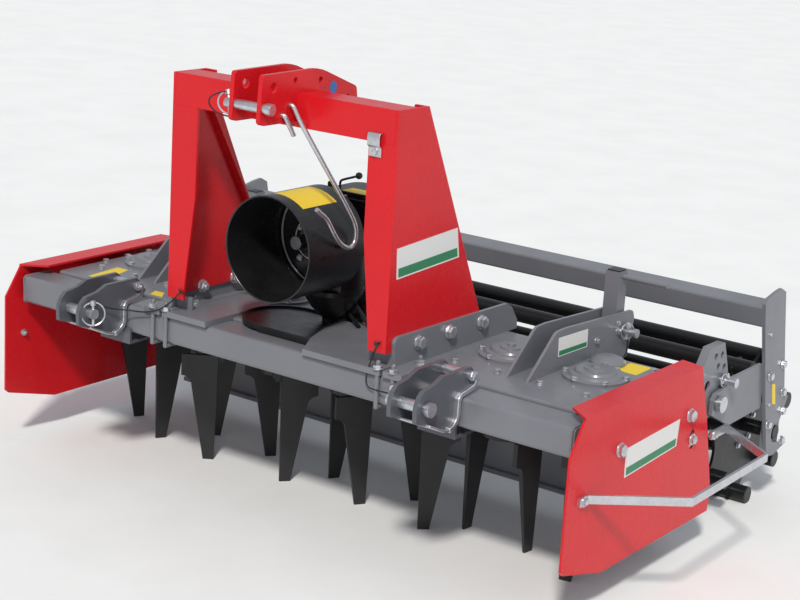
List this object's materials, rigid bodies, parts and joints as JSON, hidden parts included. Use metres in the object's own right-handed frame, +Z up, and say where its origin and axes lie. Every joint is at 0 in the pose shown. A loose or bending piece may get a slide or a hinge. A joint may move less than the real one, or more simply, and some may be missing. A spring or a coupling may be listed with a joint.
{
  "type": "power harrow",
  "caption": "Three-point power harrow: two-tine rotors under a trough, headstock, end plates, levelling board and a caged rear roller.",
  "frame": {"origin": "middle of the bounding box at floor level", "axes": "+Z up, -Y towards the tractor (hitch side), X across the machine"},
  "size_m": [2.252, 1.504, 1.2056],
  "materials": {
    "red_paint": "gloss paint",
    "grey_paint": "satin paint",
    "dark_grey_paint": "satin paint",
    "black_paint": "satin paint",
    "tine_steel": "matt paint on forged steel",
    "guard_plastic": "black moulded plastic",
    "zinc": "zinc plated"
  },
  "bodies": {
    "frame": {"gear_case": "grey_paint", "deck": "grey_paint", "bearing_covers": "grey_paint", "front_beam": "grey_paint", "post_right": "red_paint", "post_left": "red_paint", "foot_right": "grey_paint", "foot_left": "grey_paint", "cross_tube": "red_paint", "top_link_plates": "red_paint", "top_link_pin": "zinc", "hitch_ears_right": "dark_grey_paint", "hitch_ears_left": "dark_grey_paint", "hitch_pins": "zinc", "u_bolts": "grey_paint", "gearbox": "black_paint", "gearbox_stand": "black_paint", "pto_guard": "guard_plastic", "pto_hook": "zinc", "side_plate_right": "red_paint", "side_plate_left": "red_paint", "side_bar_right": "zinc", "side_bar_left": "zinc", "sector_plates": "grey_paint", "depth_pins": "zinc", "pivot_pins": "zinc", "side_mounts": "grey_paint", "board_brackets": "grey_paint", "board_pins": "zinc"},
    "rotor_1": {"rotor_1": "tine_steel"},
    "rotor_2": {"rotor_2": "tine_steel"},
    "rotor_3": {"rotor_3": "tine_steel"},
    "rotor_4": {"rotor_4": "tine_steel"},
    "rotor_5": {"rotor_5": "tine_steel"},
    "rotor_6": {"rotor_6": "tine_steel"},
    "rotor_7": {"rotor_7": "tine_steel"},
    "pto_shaft": {"pto_shaft": "zinc"},
    "levelling_board": {"levelling_board": "grey_paint", "board_posts": "grey_paint"},
    "roller_frame": {"roller_beam": "grey_paint", "roller_arm_right": "grey_paint", "roller_arm_left": "grey_paint"},
    "roller": {"roller": "black_paint"}
  },
  "joints": [
    {"name": "rotor_1_spin", "type": "hinge", "parent": "frame", "child": "rotor_1", "pos_m": [-0.75, -0.21102, 0.4], "axis": [0, 0, 1], "continuous": true},
    {"name": "rotor_2_spin", "type": "hinge", "parent": "frame", "child": "rotor_2", "pos_m": [-0.5, -0.21102, 0.4], "axis": [0, 0, 1], "continuous": true},
    {"name": "rotor_3_spin", "type": "hinge", "parent": "frame", "child": "rotor_3", "pos_m": [-0.25, -0.21102, 0.4], "axis": [0, 0, 1], "continuous": true},
    {"name": "rotor_4_spin", "type": "hinge", "parent": "frame", "child": "rotor_4", "pos_m": [0, -0.21102, 0.4], "axis": [0, 0, 1], "continuous": true},
    {"name": "rotor_5_spin", "type": "hinge", "parent": "frame", "child": "rotor_5", "pos_m": [0.25, -0.21102, 0.4], "axis": [0, 0, 1], "continuous": true},
    {"name": "rotor_6_spin", "type": "hinge", "parent": "frame", "child": "rotor_6", "pos_m": [0.5, -0.21102, 0.4], "axis": [0, 0, 1], "continuous": true},
    {"name": "rotor_7_spin", "type": "hinge", "parent": "frame", "child": "rotor_7", "pos_m": [0.75, -0.21102, 0.4], "axis": [0, 0, 1], "continuous": true},
    {"name": "pto_shaft_spin", "type": "hinge", "parent": "frame", "child": "pto_shaft", "pos_m": [0, -0.41102, 0.75], "axis": [0, 1, 0], "continuous": true},
    {"name": "levelling_board_slide", "type": "slide", "parent": "frame", "child": "levelling_board", "axis": [0, 0, 1], "range_m": [0, 0.11]},
    {"name": "roller_frame_swing", "type": "hinge", "parent": "frame", "child": "roller_frame", "pos_m": [0, 0.15698, 0.392], "axis": [1, 0, 0], "range_deg": [-9, 0]},
    {"name": "roller_spin", "type": "hinge", "parent": "roller_frame", "child": "roller", "pos_m": [0, 0.53098, 0.224], "axis": [1, 0, 0], "continuous": true}
  ],
  "couplings": [
    {"joint": "rotor_1_spin", "follows": "rotor_4_spin", "ratio": -1},
    {"joint": "rotor_2_spin", "follows": "rotor_4_spin", "ratio": 1},
    {"joint": "rotor_3_spin", "follows": "rotor_4_spin", "ratio": -1},
    {"joint": "rotor_5_spin", "follows": "rotor_4_spin", "ratio": -1},
    {"joint": "rotor_6_spin", "follows": "rotor_4_spin", "ratio": 1},
    {"joint": "rotor_7_spin", "follows": "rotor_4_spin", "ratio": -1},
    {"joint": "pto_shaft_spin", "follows": "rotor_4_spin", "ratio": 2}
  ]
}
